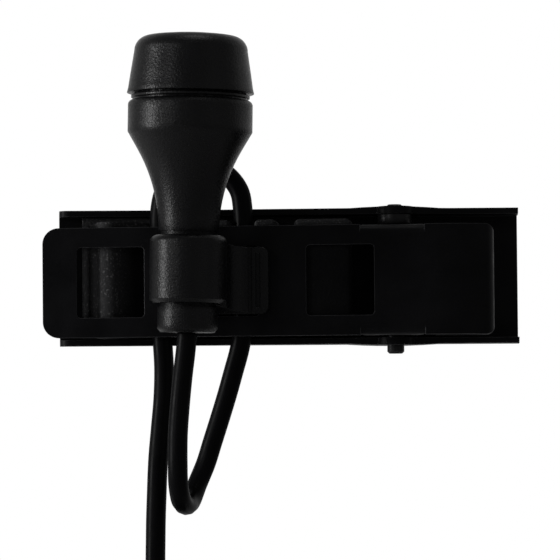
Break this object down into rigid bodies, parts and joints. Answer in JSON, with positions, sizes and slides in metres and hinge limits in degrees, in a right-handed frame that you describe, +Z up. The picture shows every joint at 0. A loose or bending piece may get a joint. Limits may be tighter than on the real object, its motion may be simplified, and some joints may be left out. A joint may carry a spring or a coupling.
{
  "type": "lavalier microphone",
  "caption": "Clip-on lavalier microphone: a flared capsule body in a turning collar on a sprung two-jaw clip, with a thin looped lead, a tied coil and a locking jack plug",
  "frame": {"origin": "where the front jaw's back face meets the grip lip, halfway up the front jaw", "axes": "+X along the clip from the jaw tips to the finger tails, +Y from the microphone side to the back of the clip, +Z up towards the cap"},
  "size_m": [0.0531, 0.0258, 0.1253],
  "materials": {
    "black_steel": "satin",
    "pin_steel": "satin",
    "spring_steel": "satin",
    "clip_plastic": "matte",
    "body_plastic": "matte, grained",
    "screen_mesh": "woven",
    "capsule_metal": "satin",
    "soft_rubber": "matte",
    "board_green": "satin",
    "chip_black": "gloss",
    "wire_red": "gloss",
    "ferrule_brass": "plain",
    "lead_jacket": "satin",
    "tie_strap": "matte",
    "shell_metal": "satin",
    "nut_metal": "satin",
    "contact_metal": "polished",
    "insulator_black": "gloss"
  },
  "bodies": {
    "rear_jaw": {"rear_jaw": "black_steel", "cable_guide": "clip_plastic", "pivot_pin": "pin_steel", "spacer_washer": "pin_steel", "torsion_spring": "spring_steel", "lead_rear": "lead_jacket", "lead_coil": "lead_jacket", "lead_end": "lead_jacket", "coil_tie": "tie_strap", "plug_boot": "soft_rubber", "plug_shell": "shell_metal", "plug_sleeve": "contact_metal", "plug_ring": "contact_metal", "plug_tip": "contact_metal", "plug_insulators": "insulator_black"},
    "front_jaw": {"front_jaw": "black_steel", "mic_holder": "clip_plastic", "lead_front": "lead_jacket"},
    "mic": {"mic_body": "body_plastic", "retainer_ring": "body_plastic", "acoustic_screen": "screen_mesh", "capsule": "capsule_metal", "capsule_sleeve": "soft_rubber", "preamp_board": "board_green", "board_parts": "chip_black", "signal_wires": "wire_red", "crimp_ferrule": "ferrule_brass", "lead_stub": "lead_jacket", "strain_bush": "soft_rubber"},
    "cap": {"cap": "body_plastic"},
    "plug_nut": {"plug_nut": "nut_metal"}
  },
  "joints": [
    {"name": "jaw_hinge", "type": "hinge", "parent": "rear_jaw", "child": "front_jaw", "pos_m": [0.031, 0.0012, 0], "axis": [0, 0, 1], "range_deg": [0, 25], "stiffness_Nm_per_rad": 0.06, "springref_deg": -57.3, "deforming": ["torsion_spring"]},
    {"name": "mic_turn", "type": "hinge", "parent": "front_jaw", "child": "mic", "pos_m": [0.0105, -0.00685, 0], "axis": [0.0209, 0, 0.9998], "range_deg": [-90, 90]},
    {"name": "cap_pull", "type": "slide", "parent": "mic", "child": "cap", "axis": [0.0209, 0, 0.9998], "range_m": [0, 0.006]},
    {"name": "plug_nut_turn", "type": "hinge", "parent": "rear_jaw", "child": "plug_nut", "pos_m": [0.02295, 0.00795, -0.087], "axis": [0, 0, 1], "continuous": true}
  ]
}
